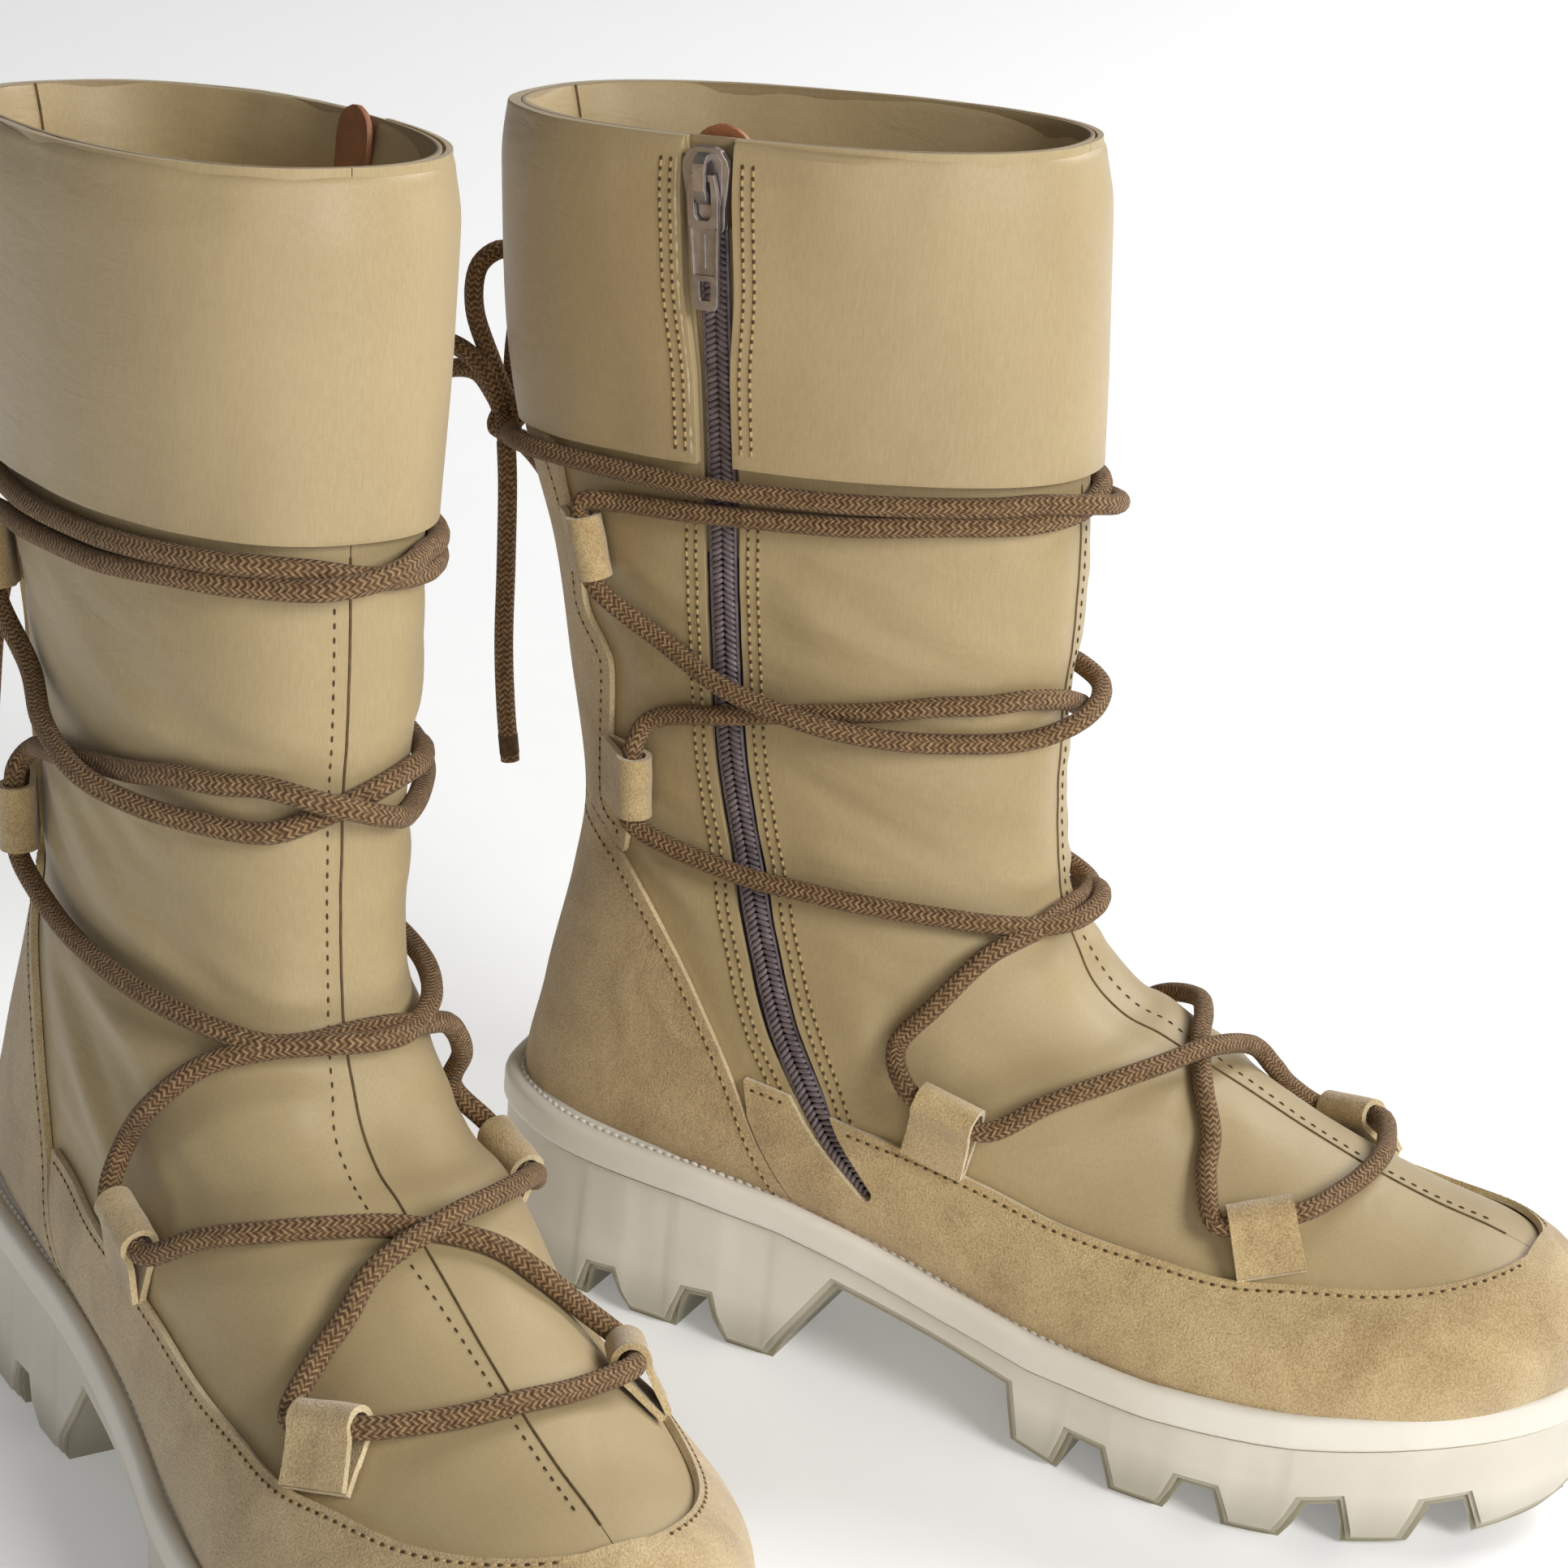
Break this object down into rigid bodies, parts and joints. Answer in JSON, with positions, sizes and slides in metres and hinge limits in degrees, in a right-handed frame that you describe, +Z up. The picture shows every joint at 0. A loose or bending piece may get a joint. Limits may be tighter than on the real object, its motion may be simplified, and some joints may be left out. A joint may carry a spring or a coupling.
{
  "type": "pair of mid-calf lace-wrap winter boots",
  "caption": "Pair of mid-calf nylon winter boots with fold-over collar, suede heel and toe rand, side zip, wrapped lace tied behind and lugged rubber sole.",
  "frame": {"origin": "middle of the base of the pair, on the floor, measured without the bows and tails of the laces", "axes": "+X towards the left boot's toe, +Y to the left boot's outer side, +Z up; the right boot stands on the -Y side with its toe turned out by 31.9 degrees"},
  "size_m": [0.404, 0.3112, 0.2982],
  "materials": {
    "nylon": "satin weave",
    "lining_cloth": "matte",
    "suede": "napped",
    "sole_rubber": "satin, slightly translucent at the lug tips",
    "welt_rubber": "satin",
    "fibre_board": "matte",
    "felt": "matte",
    "lace_cord": "braided, matte",
    "zip_coil": "matte",
    "zip_cloth": "matte",
    "zip_metal": "worn antique plating",
    "tan_leather": "smooth",
    "thermoplastic": "matte"
  },
  "bodies": {
    "left_boot": {"left_outsole": "sole_rubber", "left_welt": "welt_rubber", "left_insole_board": "fibre_board", "left_footbed": "felt", "left_heel_stiffener": "thermoplastic", "left_lining": "lining_cloth", "left_nylon_lateral": "nylon", "left_nylon_medial_front": "nylon", "left_nylon_medial_rear": "nylon", "left_collar_cuff": "nylon", "left_heel_counter": "suede", "left_toe_rand": "suede", "left_backstay": "suede", "left_loop_front_medial": "suede", "left_loop_front_lateral": "suede", "left_loop_instep_medial": "suede", "left_loop_instep_lateral": "suede", "left_loop_mid_rear_medial": "suede", "left_loop_mid_rear_lateral": "suede", "left_loop_upper_rear_medial": "suede", "left_loop_upper_rear_lateral": "suede", "left_zip_tape": "zip_cloth", "left_zip_coil": "zip_coil", "left_zip_garage": "tan_leather", "left_lace": "lace_cord", "left_lace_bow": "lace_cord", "left_lace_tail_inner": "lace_cord", "left_lace_tail_outer": "lace_cord"},
    "left_zip_slider": {"left_zip_slider": "zip_metal"},
    "left_pull_tab": {"left_pull_tab": "zip_metal"},
    "right_boot": {"right_outsole": "sole_rubber", "right_welt": "welt_rubber", "right_insole_board": "fibre_board", "right_footbed": "felt", "right_heel_stiffener": "thermoplastic", "right_lining": "lining_cloth", "right_nylon_lateral": "nylon", "right_nylon_medial_front": "nylon", "right_nylon_medial_rear": "nylon", "right_collar_cuff": "nylon", "right_heel_counter": "suede", "right_toe_rand": "suede", "right_backstay": "suede", "right_loop_front_medial": "suede", "right_loop_front_lateral": "suede", "right_loop_instep_medial": "suede", "right_loop_instep_lateral": "suede", "right_loop_mid_rear_medial": "suede", "right_loop_mid_rear_lateral": "suede", "right_loop_upper_rear_medial": "suede", "right_loop_upper_rear_lateral": "suede", "right_zip_tape": "zip_cloth", "right_zip_coil": "zip_coil", "right_zip_garage": "tan_leather", "right_lace": "lace_cord", "right_lace_bow": "lace_cord", "right_lace_tail_inner": "lace_cord", "right_lace_tail_outer": "lace_cord"},
    "right_zip_slider": {"right_zip_slider": "zip_metal"},
    "right_pull_tab": {"right_pull_tab": "zip_metal"}
  },
  "joints": [
    {"name": "right_boot_apart", "type": "slide", "parent": "left_boot", "child": "right_boot", "axis": [0, -1, 0], "range_m": [0, 0.15]},
    {"name": "left_zip", "type": "slide", "parent": "left_boot", "child": "left_zip_slider", "axis": [0.0818, 0.0811, -0.9933], "range_m": [0, 0.028]},
    {"name": "left_tab_hinge", "type": "hinge", "parent": "left_zip_slider", "child": "left_pull_tab", "pos_m": [-0.04011, 0.05514, 0.28463], "axis": [-0.9966, 0, -0.0821], "range_deg": [0, 150]},
    {"name": "right_zip", "type": "slide", "parent": "right_boot", "child": "right_zip_slider", "axis": [0.0266, -0.1121, -0.9933], "range_m": [0, 0.028]},
    {"name": "right_tab_hinge", "type": "hinge", "parent": "right_zip_slider", "child": "right_pull_tab", "pos_m": [-0.09983, 0.02277, 0.28463], "axis": [0.8461, -0.5267, 0.0821], "range_deg": [0, 150]}
  ]
}
